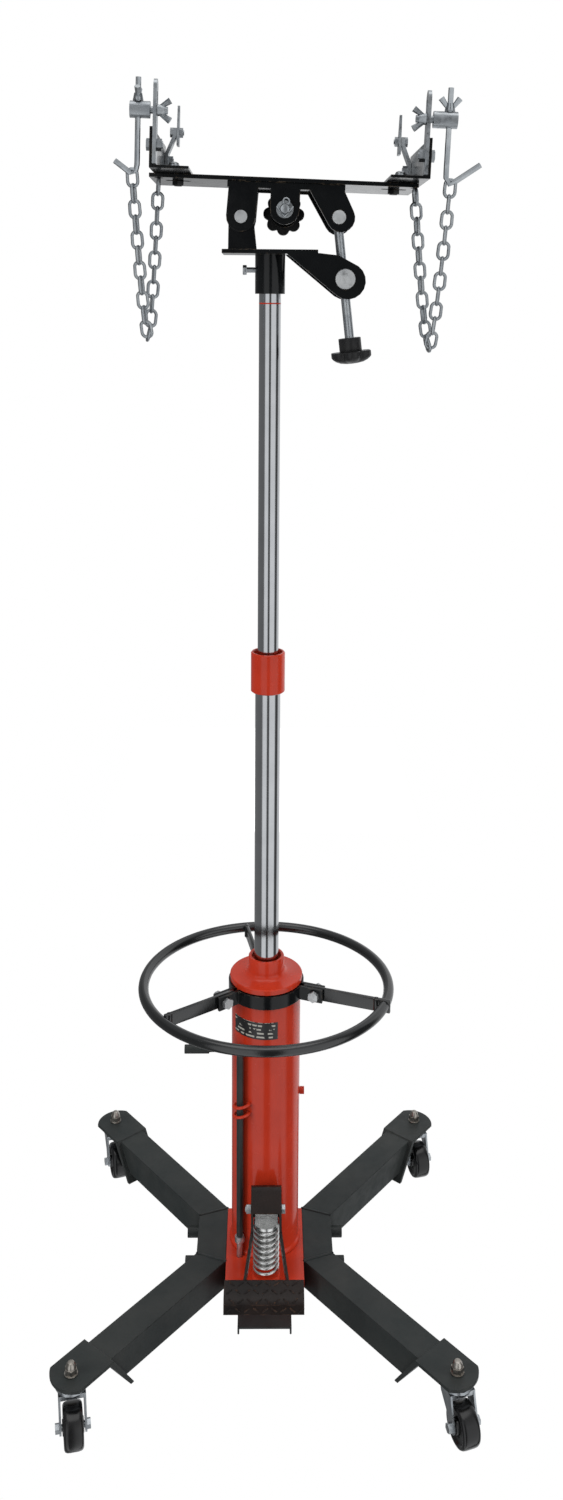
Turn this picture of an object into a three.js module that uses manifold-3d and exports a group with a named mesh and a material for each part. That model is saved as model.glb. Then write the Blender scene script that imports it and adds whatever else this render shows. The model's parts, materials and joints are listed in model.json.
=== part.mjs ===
// Two-stage telescopic transmission jack: a hydraulic column on a four-legged caster base, raised
// here to its full height, with a tilting and shifting saddle, hooks and safety chains on top.
// Millimetres, +Z up. The column's axis is the line X = 0, Y = columnY. Heights below are measured from
// floorZ under the floor, and the whole group is lowered by that much, so its floor is Z = 0.
import * as THREE from "three";
import { mergeVertices } from "three/addons/utils/BufferGeometryUtils.js";
import Module from "manifold-3d";

const wasm = await Module();
wasm.setup();

// ---------------------------------------------------------------- driving dimensions
const gap = 0.3; // between pieces that touch
const columnY = 8; // puts the origin at the middle of the whole footprint
const floorZ = 10; // height of the floor in the figures below

// base and legs
const frameBottom = 57, frameTop = 107; // height of the square leg tube
const tubeWall = 4;
const frameInner = 65.5, frameOuter = 115.5; // side of the leg tube nearest and furthest from the column
const mitreY = 54; // where a leg turns outwards
const kingpins = { front: [290.5, -290.5], rear: [293, 302.5] }; // of the right-hand side, x and y
const blockHalfWidth = 65.2, blockFront = -105, blockRear = 62, blockBottom = 58, blockTop = 107;

// casters
const wheelRadius = 32.5, wheelWidth = 29, casterTrail = 25, axleZ = floorZ + wheelRadius;
const plateThickness = 5, plateTop = 109, plateWidth = 66, plateEndRadius = 40;
const casterHeadings = { front_left: 12, front_right: 18, rear_left: 16, rear_right: 14 }; // degrees

// column
const cylinderRadius = 57, cylinderBore = 51, cylinderBottom = 88.8, cylinderTop = 589.7;
const capRadius = 59.7, capTop = 600, neckRadius = 29.25, neckTop = 631;
const lowerRamRadius = 20, lowerRamBore = 17.2, lowerRamBottom = 549.5, collarBottom = 1085, collarTop = 1150;
const collarRadius = 27, upperRamRadius = 16.5, upperRamBottom = 1072, upperRamTop = 1761.5;

// hand ring
const ringRadius = 203, ringTube = 8.5, ringZ = 579, ringTilt = -1.5;
const spokeAzimuths = { left: -143.8, right: -20.1, rear: 100.4 };
const spokeHeight = 22, spokeThickness = 6, bandThickness = 5, bandBottom = 566.6, bandTop = 589.4;
const clampBoltRadius = 86; // distance of the clamp bolts from the column's axis

// pump, pedal and release rod
const pumpX = 2, pumpY = -97, fulcrumY = -66, fulcrumZ = 208, plungerPinZ = 222;
const rodX = -42.5, rodY = -50.5, rodRadius = 5.5, rodBottom = 145.3, handleZ = 494;

// head
const socketRadius = 22.5, socketBottom = 1706, headPlateBottom = 1764, headPlateTop = 1770;
const pivot = new THREE.Vector3(-43.2, 0, 1816); // the saddle tilts about this pin
const restTilt = 1.8; // degrees, right side down
const clevisX = 142.9, clevisZ = 4.7; // upper trunnion, from the pivot, in the saddle's own axes
const trunnion = new THREE.Vector3(110.3, 0, 1727.9); // lower trunnion
const lugInner = 39, lugOuter = 45; // the saddle's lugs, measured from the middle plane
const screwRadius = 7;
const plateLeft = -134, plateRight = 256, plateFront = -48, plateBack = 92; // the saddle plate
const saddleBottom = 50.5, saddleTop = 56.5, seatStep = 0.3;

// saddle ends
const angleLength = 240, angleThickness = 4, angleLeg = 55;
const uprightY = 110; // distance of the uprights from the middle plane
const ends = {
  left: { out: -1, corner: -127.7, block: 146.5, blockZ: 134, rod: -145, chainX: -121 },
  right: { out: 1, corner: 263.3, block: 270.3, blockZ: 137, rod: 286, chainX: 252 },
};

// ---------------------------------------------------------------- materials
const finish = (color, roughness, metalness) =>
  new THREE.MeshStandardMaterial({ color, roughness, metalness });
const redPaint = finish(0xc8301c, 0.28, 0.1);
const satinBlack = finish(0x2b2f2e, 0.5, 0.2);
const glossBlack = finish(0x121314, 0.22, 0.2);
const chrome = finish(0xc4c6c8, 0.12, 1);
const zinc = finish(0xa9adac, 0.35, 0.9);
const steel = finish(0x8d9092, 0.4, 0.9);
const blackPlastic = finish(0x1c1d1e, 0.45, 0);
const wheelPlastic = finish(0x17181a, 0.4, 0);

// ---------------------------------------------------------------- geometry helpers
// A closed three.js geometry as a manifold-3d solid.
function solid(geometry) {
  const plain = geometry.clone();
  plain.deleteAttribute("normal");
  plain.deleteAttribute("uv");
  const merged = mergeVertices(plain, 1e-4);
  return new wasm.Manifold(
    new wasm.Mesh({
      numProp: 3,
      vertProperties: merged.attributes.position.array,
      triVerts: new Uint32Array(merged.index.array),
    }),
  );
}

function join(...parts) {
  return parts.reduce((whole, part) => whole.add(part));
}

function cut(whole, ...tools) {
  return tools.reduce((left, tool) => left.subtract(tool), whole);
}

// A solid as a named mesh.
function piece(name, shape, material) {
  const made = shape.getMesh();
  const geometry = new THREE.BufferGeometry();
  const positions = new Float32Array(made.numVert * 3);
  for (let i = 0; i < made.numVert; i++)
    for (let k = 0; k < 3; k++) positions[3 * i + k] = made.vertProperties[made.numProp * i + k];
  geometry.setAttribute("position", new THREE.BufferAttribute(positions, 3));
  geometry.setIndex(new THREE.BufferAttribute(new Uint32Array(made.triVerts), 1));
  geometry.computeVertexNormals();
  const mesh = new THREE.Mesh(geometry, material);
  mesh.name = name;
  return mesh;
}

// A box between two corners.
function block(x0, x1, y0, y1, z0, z1) {
  const geometry = new THREE.BoxGeometry(x1 - x0, y1 - y0, z1 - z0);
  return solid(geometry.translate((x0 + x1) / 2, (y0 + y1) / 2, (z0 + z1) / 2));
}

// A round or polygonal bar from one point to another.
function bar(radius, from, to, sides = 20, endRadius = radius) {
  const start = new THREE.Vector3(...from), end = new THREE.Vector3(...to);
  const along = end.clone().sub(start);
  const geometry = new THREE.CylinderGeometry(endRadius, radius, along.length(), sides);
  geometry.applyQuaternion(
    new THREE.Quaternion().setFromUnitVectors(new THREE.Vector3(0, 1, 0), along.clone().normalize()),
  );
  return solid(geometry.translate(...start.add(end).multiplyScalar(0.5).toArray()));
}

// A turned piece about the Z axis from its (radius, height) profile.
function turned(profile, sides = 32) {
  const points = profile.map(([r, z]) => new THREE.Vector2(r, z));
  return outward(new THREE.LatheGeometry(points, sides).rotateX(Math.PI / 2));
}

// A tube wall about the Z axis.
function ring(inner, outer, z0, z1, sides = 32) {
  return turned([[inner, z0], [outer, z0], [outer, z1], [inner, z1], [inner, z0]], sides);
}

// A plate whose outline lies in the XZ plane, between two Y values.
function plateXZ(shape, y0, y1, curveSegments = 8) {
  const geometry = new THREE.ExtrudeGeometry(shape, { depth: y1 - y0, bevelEnabled: false, curveSegments });
  return solid(geometry.rotateX(Math.PI / 2).translate(0, y1, 0));
}

// A plate whose outline lies in the YZ plane, between two X values.
function plateYZ(shape, x0, x1, curveSegments = 8) {
  const geometry = new THREE.ExtrudeGeometry(shape, { depth: x1 - x0, bevelEnabled: false, curveSegments });
  return solid(geometry.rotateX(Math.PI / 2).rotateZ(Math.PI / 2).translate(x0, 0, 0));
}

// A plate whose outline lies in the XY plane, between two heights.
function plateXY(shape, z0, z1, curveSegments = 8) {
  const geometry = new THREE.ExtrudeGeometry(shape, { depth: z1 - z0, bevelEnabled: false, curveSegments });
  return solid(geometry.translate(0, 0, z0));
}

function outline(points) {
  return new THREE.Shape(points.map(([x, y]) => new THREE.Vector2(x, y)));
}

// A straight slot with round ends.
function slotOutline(x0, x1, y, radius) {
  const shape = new THREE.Shape();
  shape.absarc(x1, y, radius, -Math.PI / 2, Math.PI / 2, false);
  shape.absarc(x0, y, radius, Math.PI / 2, Math.PI * 1.5, false);
  return shape;
}

// A lug with a round end: a strip between two top points that ends in an arc about a centre.
function lugOutline(x0, x1, top, centreX, centreZ, radius, steps = 9) {
  const centre = new THREE.Vector2(centreX, centreZ);
  const tangent = (x, z, side) => {
    const away = new THREE.Vector2(x, z).sub(centre);
    return away.angle() + side * Math.acos(Math.min(1, radius / away.length()));
  };
  const first = tangent(x0, top, 1), last = tangent(x1, top, -1) + 2 * Math.PI;
  const span = ((last - first) % (2 * Math.PI) + 2 * Math.PI) % (2 * Math.PI);
  const arc = Array.from({ length: steps + 1 }, (_, i) => {
    const angle = first + (span * i) / steps;
    return [centreX + radius * Math.cos(angle), centreZ + radius * Math.sin(angle)];
  });
  return outline([[x0, top], ...arc, [x1, top]]);
}

// A round rod bent along a path.
function bent(points, radius, steps, sides = 10, tension = 0.5) {
  const knots = points.map((p) => new THREE.Vector3(...p));
  const path = new THREE.CatmullRomCurve3(knots, false, "catmullrom", tension);
  const section = new THREE.Shape();
  section.absarc(0, 0, radius, 0, Math.PI * 2, false);
  const options = { steps, extrudePath: path, bevelEnabled: false, curveSegments: sides / 2 };
  return outward(new THREE.ExtrudeGeometry(section, options));
}

// A solid whose faces point outwards, whichever way its geometry was wound.
function outward(geometry) {
  const made = solid(geometry);
  if (made.volume() > 0) return made;
  const plain = geometry.index ? geometry.toNonIndexed() : geometry.clone();
  const p = plain.attributes.position;
  for (let i = 0; i < p.count; i += 3) {
    const a = new THREE.Vector3().fromBufferAttribute(p, i + 1);
    const b = new THREE.Vector3().fromBufferAttribute(p, i + 2);
    p.setXYZ(i + 1, b.x, b.y, b.z);
    p.setXYZ(i + 2, a.x, a.y, a.z);
  }
  return solid(plain);
}

// Removes what lies beyond a plane, on the side that its normal points to.
function trim(whole, point, normal) {
  const size = 1500;
  const geometry = new THREE.BoxGeometry(size, size, size).translate(0, 0, size / 2);
  geometry.applyQuaternion(
    new THREE.Quaternion().setFromUnitVectors(new THREE.Vector3(0, 0, 1), normal.clone().normalize()),
  );
  return whole.subtract(solid(geometry.translate(point.x, point.y, point.z)));
}

// The same solid turned about Z, then moved.
function placed(shape, azimuth, x = 0, y = 0, z = 0) {
  const mesh = piece("", shape, null);
  mesh.geometry.rotateZ(THREE.MathUtils.degToRad(azimuth)).translate(x, y, z);
  return solid(mesh.geometry);
}

// The same solid mirrored in X.
function mirrored(shape) {
  const mesh = piece("", shape, null);
  return outward(mesh.geometry.scale(-1, 1, 1));
}

const root = new THREE.Group();
root.position.set(0, columnY, -floorZ);

// ---------------------------------------------------------------- base
function baseBlock() {
  const body = block(-blockHalfWidth, blockHalfWidth, blockFront, blockRear, blockBottom, blockTop);
  const seat = bar(cylinderRadius + gap + 0.3, [0, 0, cylinderBottom - gap], [0, 0, blockTop + 1], 36);
  const valveHole = bar(5.3, [rodX, rodY, 96.5], [rodX, rodY, blockTop + 1], 12);
  const boltHoles = [-1, 1].map((side) => bar(6.4, [-80, side * 35, 82], [80, side * 35, 82], 12));
  return piece("base_block", cut(body, seat, valveHole, ...boltHoles), redPaint);
}

function frontChannel() {
  const front = -150, rear = -8;
  const web = block(-44, 44, front, rear, 54.7, 57.7);
  const flanges = [-1, 1].map((side) => block(side * 42.5 - 1.5, side * 42.5 + 1.5, front, rear, 45, 57));
  return piece("front_channel", join(web, ...flanges), satinBlack);
}

// A square tube along X, centred on the X axis, at the height of the legs.
function squareTube(length, half) {
  const outer = block(-length, length, -half, half, frameBottom, frameTop);
  const hollow = block(
    -length - 1, length + 1, -half + tubeWall, half - tubeWall, frameBottom + tubeWall, frameTop - tubeWall,
  );
  return cut(outer, hollow);
}

// One leg along X with its bent caster plate, from the mitre at X = 0 to its kingpin.
function legToKingpin(reach, half) {
  const legEndTop = reach - 50, legEndBottom = reach - 86, middle = (frameTop + frameBottom) / 2;
  const slope = new THREE.Vector3(frameTop - frameBottom, 0, legEndBottom - legEndTop);
  const slopeMiddle = new THREE.Vector3((legEndTop + legEndBottom) / 2, 0, middle);
  const tube = trim(squareTube(reach, half), slopeMiddle, slope);

  const tongue = new THREE.Shape();
  const spread = Math.asin(plateWidth / 2 / plateEndRadius), centre = reach + 30 - plateEndRadius;
  tongue.moveTo(legEndTop - 6, plateWidth / 2);
  tongue.lineTo(legEndTop - 6, -plateWidth / 2);
  tongue.absarc(centre, 0, plateEndRadius, -spread, spread, false);
  const bolt = bar(6.4, [reach, 0, 90], [reach, 0, 120], 16);
  const flat = cut(plateXY(tongue, plateTop - plateThickness, plateTop, 10), bolt);
  const lip = 0.28; // how far the bent plate runs on below the leg, as a share of its height
  const lowS = legEndBottom - lip * (legEndTop - legEndBottom);
  const lowZ = frameBottom - lip * (frameTop - frameBottom);
  const bentDown = plateXZ(
    outline([
      [legEndTop - 6, plateTop], [legEndTop + 3, plateTop], [lowS + 5, lowZ], [lowS - 1, lowZ],
      [lowS - 1, lowZ + 1.5],
    ]),
    -plateWidth / 2, plateWidth / 2,
  );
  return join(tube, flat, bentDown);
}

// The right-hand side frame in one weldment: a middle tube, two legs and two bent caster plates.
function sideFrame() {
  const half = (frameOuter - frameInner) / 2, middleX = (frameInner + frameOuter) / 2;
  const bite = 0.2; // how far the legs reach into the middle tube
  let middleTube = placed(squareTube(200, half), 90, middleX);
  for (const side of [-1, 1])
    middleTube = cut(middleTube, bar(6.4, [0, side * 35, 82], [200, side * 35, 82], 12));
  const legs = Object.values(kingpins).map(([x, y]) => {
    const end = Math.sign(y);
    const seam = new THREE.Vector3(middleX, end * mitreY, 0);
    const along = new THREE.Vector3(x, y, 0).sub(seam);
    const mitre = along.clone().normalize().add(new THREE.Vector3(0, end, 0)).normalize();
    const azimuth = THREE.MathUtils.radToDeg(Math.atan2(along.y, along.x));
    const leg = placed(legToKingpin(along.length(), half), azimuth, seam.x, seam.y);
    middleTube = trim(middleTube, seam, mitre);
    return trim(leg, seam.clone().addScaledVector(mitre, -bite), mitre.clone().negate());
  });
  return join(middleTube, ...legs);
}

function sideFrames() {
  const right = sideFrame();
  return [
    piece("side_frame_right", right, satinBlack),
    piece("side_frame_left", mirrored(right), satinBlack),
  ];
}

function frameBolt(name, y) {
  const reach = frameOuter + 20;
  const shank = bar(6, [-reach, y, 82], [reach, y, 82], 16);
  const heads = [-1, 1].map((side) =>
    bar(9.5, [side * (frameOuter + gap), y, 82], [side * reach, y, 82], 20),
  );
  return piece(name, join(shank, ...heads), satinBlack);
}

root.add(baseBlock(), frontChannel(), ...sideFrames());
root.add(frameBolt("frame_bolt_front", -35), frameBolt("frame_bolt_rear", 35));

// ---------------------------------------------------------------- casters
function kingpin(name) {
  const raceTop = plateTop - plateThickness - gap;
  const race = turned(
    [[0, raceTop - 8], [23, raceTop - 8], [23, raceTop - 3], [16, raceTop], [0, raceTop]],
    14,
  );
  const shank = bar(6, [0, 0, 80], [0, 0, plateTop + 8], 12);
  const rivet = bar(9, [0, 0, 80], [0, 0, 82.5], 12);
  const washer = bar(10.5, [0, 0, plateTop + gap], [0, 0, plateTop + 2], 16);
  const nut = bar(9.8, [0, 0, plateTop + 1.5], [0, 0, plateTop + 11], 6);
  const dome = turned([
    [0, plateTop + 10], [8.2, plateTop + 10], [7.6, plateTop + 16], [5, plateTop + 20], [0, plateTop + 21.5],
  ], 12);
  return piece(name, join(race, shank, rivet, washer, nut, dome), zinc);
}

function fork(name) {
  const crownTop = plateTop - plateThickness - 9;
  const crown = turned([
    [6.6, crownTop - 9], [22, crownTop - 9], [24.5, crownTop - 4], [23.5, crownTop], [6.6, crownTop],
    [6.6, crownTop - 9],
  ], 14);
  const rearmost = -casterTrail; // the axle
  const leg = outline([
    [17, crownTop - 4], [-20, crownTop - 4], [-22, crownTop - 14], [rearmost - 8.5, axleZ + 5.5],
    [rearmost - 10, axleZ], [rearmost - 8, axleZ - 6.5], [rearmost, axleZ - 9.5], [rearmost + 8, axleZ - 6.5],
    [-8, 58], [12, crownTop - 20],
  ]);
  const legs = [-1, 1].map((side) => plateYZ(leg, side * 19 - 1.5, side * 19 + 1.5));
  const hollow = block(-17.5, 17.5, -60, 60, 0, crownTop - 12);
  const bridge = cut(
    block(-20.5, 20.5, -20, 17, crownTop - 12, crownTop - 4), bar(9.6, [0, 0, 60], [0, 0, crownTop - 8], 12),
    bar(6.6, [0, 0, 60], [0, 0, crownTop + 1], 12),
  );
  const onAxle = (x) => [x, -casterTrail, axleZ];
  const axle = bar(5, onAxle(-25), onAxle(25), 12);
  const head = bar(7.5, onAxle(20), onAxle(26), 6);
  const nut = bar(7.5, onAxle(-26.5), onAxle(-20), 6);
  return piece(name, join(cut(join(crown, ...legs), hollow), bridge, axle, head, nut), zinc);
}

function wheel(name) {
  const half = wheelWidth / 2;
  const profile = [
    [5.4, -half - 1.5], [11, -half - 1.5], [13.5, -half + 3], [23.5, -half + 3], [26.5, -half],
    [wheelRadius, -half + 3], [wheelRadius, half - 3], [26.5, half], [23.5, half - 3], [13.5, half - 3],
    [11, half + 1.5], [5.4, half + 1.5], [5.4, -half - 1.5],
  ];
  const points = profile.map(([r, z]) => new THREE.Vector2(r, z));
  const geometry = new THREE.LatheGeometry(points, 18).rotateZ(Math.PI / 2);
  return piece(name, outward(geometry.translate(0, -casterTrail, axleZ)), wheelPlastic);
}

function caster(corner) {
  const group = new THREE.Group();
  const [end, side] = corner.split("_");
  const [x, y] = kingpins[end];
  group.position.set(side === "right" ? x : -x, y, 0);
  group.rotation.z = THREE.MathUtils.degToRad(casterHeadings[corner]);
  group.add(kingpin(`kingpin_${corner}`), fork(`caster_fork_${corner}`), wheel(`caster_wheel_${corner}`));
  return group;
}

root.add(...Object.keys(casterHeadings).map(caster));

// ---------------------------------------------------------------- column
function cylinderTube() {
  const weldTop = blockTop + gap;
  const tube = turned([
    [0, cylinderBottom], [cylinderRadius, cylinderBottom], [cylinderRadius, weldTop],
    [cylinderRadius + 3.5, weldTop], [cylinderRadius + 2.5, weldTop + 4], [cylinderRadius, weldTop + 7],
    [cylinderRadius, cylinderTop], [cylinderBore, cylinderTop], [cylinderBore, cylinderBottom + 8],
    [0, cylinderBottom + 8],
  ], 36);
  const plugHole = bar(5.4, [40, 0, 382], [70, 0, 382], 12);
  const guides = [373, 390].map((z) => {
    const eye = new THREE.TorusGeometry(9.6, 2.4, 6, 14).scale(1.3, 1, 1).rotateY(-0.2);
    return solid(eye.translate(rodX + 2.6, rodY, z));
  });
  const lug = plateYZ(
    outline([
      [-54, fulcrumZ - 22], [-66, fulcrumZ - 12], [-74, fulcrumZ - 8], [-74, fulcrumZ + 8],
      [-66, fulcrumZ + 13], [-54, fulcrumZ + 18],
    ]),
    pumpX - 14, pumpX + 14,
  );
  const core = bar(cylinderBore - 0.5, [0, 0, cylinderBottom + 8], [0, 0, cylinderTop + 5], 36);
  const boltHole = bar(5.4, [-40, fulcrumY, fulcrumZ], [40, fulcrumY, fulcrumZ], 12);
  const welded = cut(join(tube, ...guides, lug), boltHole);
  return piece("cylinder_tube", cut(welded, plugHole, core), redPaint);
}

function innerCylinder() {
  return piece("inner_cylinder", ring(25.2, 30, cylinderBottom + 8 + gap, 574, 24), steel);
}

function cylinderCap() {
  const spigot = cylinderBore - gap, under = cylinderTop + gap;
  return piece("cylinder_cap", turned([
    [lowerRamRadius + gap, 576], [spigot, 576], [spigot, under], [capRadius, under],
    [capRadius, capTop - 1.5],
    [capRadius - 1.5, capTop], [neckRadius + 7, capTop], [neckRadius + 3, capTop + 2.5],
    [neckRadius, capTop + 7], [neckRadius, neckTop - 1.5], [neckRadius - 1.5, neckTop], [24.5, neckTop],
    [23.5, neckTop - 9],
    [lowerRamRadius + gap, neckTop - 9], [lowerRamRadius + gap, 576],
  ], 28), redPaint);
}

function fillerPlug() {
  const shank = bar(5.1, [51.5, 0, 382], [60, 0, 382], 12);
  return piece("filler_plug", join(shank, bar(7, [57.4, 0, 382], [65, 0, 382], 6)), redPaint);
}

function lowerRam() {
  return piece("lower_ram", ring(lowerRamBore, lowerRamRadius, lowerRamBottom, collarTop - 14, 28), chrome);
}

function ramPiston() {
  const sleeve = ring(lowerRamRadius + gap, 24.6, lowerRamBottom, lowerRamBottom + 22, 24);
  return piece("ram_piston", sleeve, steel);
}

function ramCollar() {
  const seat = collarTop - 14 + gap;
  return piece("ram_collar", turned([
    [lowerRamRadius + gap, collarBottom], [collarRadius - 1.5, collarBottom],
    [collarRadius, collarBottom + 1.5], [collarRadius, collarTop - 1.5], [collarRadius - 1.5, collarTop], [23, collarTop],
    [22, collarTop - 7],
    [upperRamRadius + gap, collarTop - 7], [upperRamRadius + gap, seat], [lowerRamRadius + gap, seat],
    [lowerRamRadius + gap, collarBottom],
  ], 24), redPaint);
}

function upperRam() {
  const end = 8;
  return piece("upper_ram", turned([
    [0, upperRamBottom], [upperRamRadius, upperRamBottom], [upperRamRadius, upperRamTop - 1],
    [upperRamRadius - 1, upperRamTop], [11, upperRamTop], [11, upperRamBottom + end],
    [0, upperRamBottom + end],
  ], 28), chrome);
}

root.add(cylinderTube(), innerCylinder(), cylinderCap(), fillerPlug());
root.add(lowerRam(), ramPiston(), ramCollar(), upperRam());

// ---------------------------------------------------------------- hand ring and its clamp
const earOffset = spokeThickness / 2 + 0.8; // inner face of an ear, from the middle of its spoke
const earOf = (side) => {
  const [inner, outer] = [side * earOffset, side * (earOffset + bandThickness)];
  return block(58.5, 100, Math.min(inner, outer), Math.max(inner, outer), bandBottom, bandTop);
};
const boltHole = bar(5.3, [clampBoltRadius, -30, ringZ - 1], [clampBoltRadius, 30, ringZ - 1], 12);

function handRing() {
  const tube = solid(new THREE.TorusGeometry(ringRadius, ringTube, 8, 40).translate(0, 0, ringZ));
  const spokes = Object.entries(spokeAzimuths).map(([name, azimuth]) => {
    const start = name === "rear" ? 64 : 66, end = ringRadius + (name === "right" ? 9.5 : -4);
    const middle = ringZ - 1, halfHeight = spokeHeight / 2;
    const spoke = block(
      start, end, -spokeThickness / 2, spokeThickness / 2, middle - halfHeight, middle + halfHeight,
    );
    const hole = bar(6.5, [clampBoltRadius, -30, ringZ - 1], [clampBoltRadius, 30, ringZ - 1], 12);
    return placed(name === "rear" ? spoke : cut(spoke, hole), azimuth);
  });
  const mesh = piece("hand_ring", join(tube, ...spokes), glossBlack);
  mesh.geometry.translate(0, 0, -ringZ).rotateX(THREE.MathUtils.degToRad(ringTilt)).translate(0, 0, ringZ);
  return mesh;
}

// A band round the column between two azimuths, in degrees, going anticlockwise.
function arcBand(from, to) {
  const [a, b] = [from, to].map(THREE.MathUtils.degToRad);
  const shape = new THREE.Shape();
  shape.absarc(0, 0, cylinderRadius + gap + bandThickness, a, b, false);
  shape.absarc(0, 0, cylinderRadius + gap, b, a, true);
  return plateXY(shape, bandBottom, bandTop, 14);
}

function clampBands() {
  const away = THREE.MathUtils.radToDeg(Math.asin(earOffset / 60));
  const { left, right } = spokeAzimuths;
  const front = join(
    arcBand(left + away, right - away),
    placed(cut(earOf(1), boltHole), left), placed(cut(earOf(-1), boltHole), right),
  );
  const rear = join(
    arcBand(right + away, left - away + 360),
    placed(cut(earOf(1), boltHole), right), placed(cut(earOf(-1), boltHole), left),
  );
  return [piece("clamp_band_front", front, glossBlack), piece("clamp_band_rear", rear, glossBlack)];
}

function clampBolt(name, azimuth, headSide) {
  const outside = earOffset + bandThickness + gap;
  const at = (y) => [clampBoltRadius, headSide * y, ringZ - 1];
  const shank = bar(5, at(-outside - 13), at(outside + 1), 14);
  const head = bar(9.2, at(outside), at(outside + 7), 6);
  const nut = bar(9.2, at(-outside - 8), at(-outside), 6);
  return piece(name, placed(join(shank, head, nut), azimuth), zinc);
}

root.add(handRing(), ...clampBands());
root.add(clampBolt("clamp_bolt_left", spokeAzimuths.left, 1));
root.add(clampBolt("clamp_bolt_right", spokeAzimuths.right, -1));

// ---------------------------------------------------------------- release valve and rod
function releaseValve() {
  const stem = bar(4.9, [rodX, rodY, 97], [rodX, rodY, 135], 14);
  const ferrule = bar(8, [rodX, rodY, 134], [rodX, rodY, rodBottom - gap], 16);
  return piece("release_valve", join(stem, ferrule), zinc);
}

function releaseRod() {
  const rod = bent([
    [rodX, rodY, rodBottom], [rodX, rodY, 240], [rodX, rodY, 350], [rodX, rodY, 462],
    [rodX, rodY, handleZ - 12],
    [rodX - 4, rodY - 0.5, handleZ - 4], [rodX - 13, rodY - 1.5, handleZ - 1], [rodX - 40, rodY - 4, handleZ],
    [rodX - 84, rodY - 8, handleZ + 2],
  ], rodRadius, 24, 8);
  const grip = bar(7.2, [rodX - 50, rodY - 5, handleZ], [rodX - 90, rodY - 8.6, handleZ + 2.2], 14);
  return piece("release_rod", join(rod, grip), satinBlack);
}

root.add(releaseValve(), releaseRod());

// ---------------------------------------------------------------- pump and pedal
const springBottom = 117, springTop = 206;

function pumpBody() {
  const body = turned([
    [0, blockTop + gap], [23.5, blockTop + gap], [23.5, springBottom - gap], [11, springBottom - gap],
    [11, 148], [10, 150], [7.7, 150], [7.7, 113], [0, 113],
  ], 28);
  return piece("pump_body", placed(body, 0, pumpX, pumpY, 0), redPaint);
}

function plunger() {
  const rod = bar(7.4, [pumpX, pumpY, 123], [pumpX, pumpY, springTop + 2], 24);
  const skirt = placed(ring(11.8, 16.5, 132, springTop + 1, 24), 0, pumpX, pumpY);
  const retainer = bar(20.5, [pumpX, pumpY, springTop + gap], [pumpX, pumpY, springTop + 5], 28);
  const head = block(pumpX - 18.5, pumpX + 18.5, pumpY - 9, pumpY + 9, springTop + 4, 231);
  const pinSlot = plateYZ(slotOutline(pumpY - 3.5, pumpY + 1, plungerPinZ, 4.9), pumpX - 30, pumpX + 30);
  return piece("pump_plunger", cut(join(rod, skirt, retainer, head), pinSlot), steel);
}

function returnSpring() {
  const turns = 8, wire = 2.1, radius = 19.6, top = springTop - wire, bottom = springBottom + wire;
  class Coil extends THREE.Curve {
    getPoint(t, target = new THREE.Vector3()) {
      const angle = t * turns * 2 * Math.PI;
      return target.set(
        pumpX + radius * Math.cos(angle), pumpY + radius * Math.sin(angle), bottom + (top - bottom) * t,
      );
    }
  }
  const section = new THREE.Shape();
  section.absarc(0, 0, wire, 0, Math.PI * 2, false);
  const options = { steps: turns * 9, extrudePath: new Coil(), bevelEnabled: false, curveSegments: 3 };
  return piece("return_spring", outward(new THREE.ExtrudeGeometry(section, options)), zinc);
}

function pedalLever() {
  const sheet = 4, half = 25, spread = 35.5; // sheet thickness, half width at the pump and at the tread
  const back = [[-60, 236], [-66, 251], [-74, 258.5], [-80, 260], [-86, 257], [-110, 237]];
  const side = outline([
    [-57, 200], [-57, 214], ...back, [-124, 226], [-134, 219.5], [-134, 205], [-118, 208], [-104, 209],
    [-92, 204], [-80, 196], [-70, 192.5], [-60, 195],
  ]);
  const web = outline([
    ...back, [-112.5, 235], [-109, 232.5], [-84.5, 253.2], [-80, 255.5], [-75.5, 254.5], [-69.5, 248.5],
    [-64, 235],
  ]);
  const cheeks = [-1, 1].map((s) => {
    const middle = pumpX + s * (half - sheet / 2);
    return plateYZ(side, middle - sheet / 2, middle + sheet / 2);
  });
  const arms = [-1, 1].map((s) => {
    const arm = outline([[-130, 219.5], [-206, 184.5], [-206, 169.5], [-130, 205]]);
    const flat = piece("", plateYZ(arm, -sheet / 2, sheet / 2), null);
    const spreadPerY = (spread - half) / 66;
    const p = flat.geometry.attributes.position;
    for (let i = 0; i < p.count; i++)
      p.setX(i, p.getX(i) + pumpX + s * (half - sheet / 2 + Math.max(0, -p.getY(i) - 130) * spreadPerY));
    return solid(flat.geometry);
  });
  const cover = plateYZ(web, pumpX - half, pumpX + half);
  const pin = bar(4, [pumpX - half, pumpY, plungerPinZ], [pumpX + half, pumpY, plungerPinZ], 14);
  const tread = outline([
    [-197, 184], [-199, 189], [-224, 180.5], [-232, 173], [-235.5, 159], [-231.5, 158], [-228.5, 170.5],
    [-222, 176],
  ]);
  const pad = plateYZ(tread, -64, 61);
  const hole = bar(5.4, [-40, fulcrumY, fulcrumZ], [40, fulcrumY, fulcrumZ], 14);
  return piece("pedal_lever", join(cut(join(...cheeks, cover, ...arms), hole), pin, pad), satinBlack);
}

function fulcrumBolt() {
  const at = (x) => [pumpX + x, fulcrumY, fulcrumZ];
  return piece("fulcrum_bolt", join(
    bar(5, at(-35), at(30), 14), bar(8, at(25.4), at(31.5), 6), bar(8, at(-33), at(-25.4), 6),
  ), zinc);
}

root.add(pumpBody(), plunger(), returnSpring(), pedalLever(), fulcrumBolt());

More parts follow.
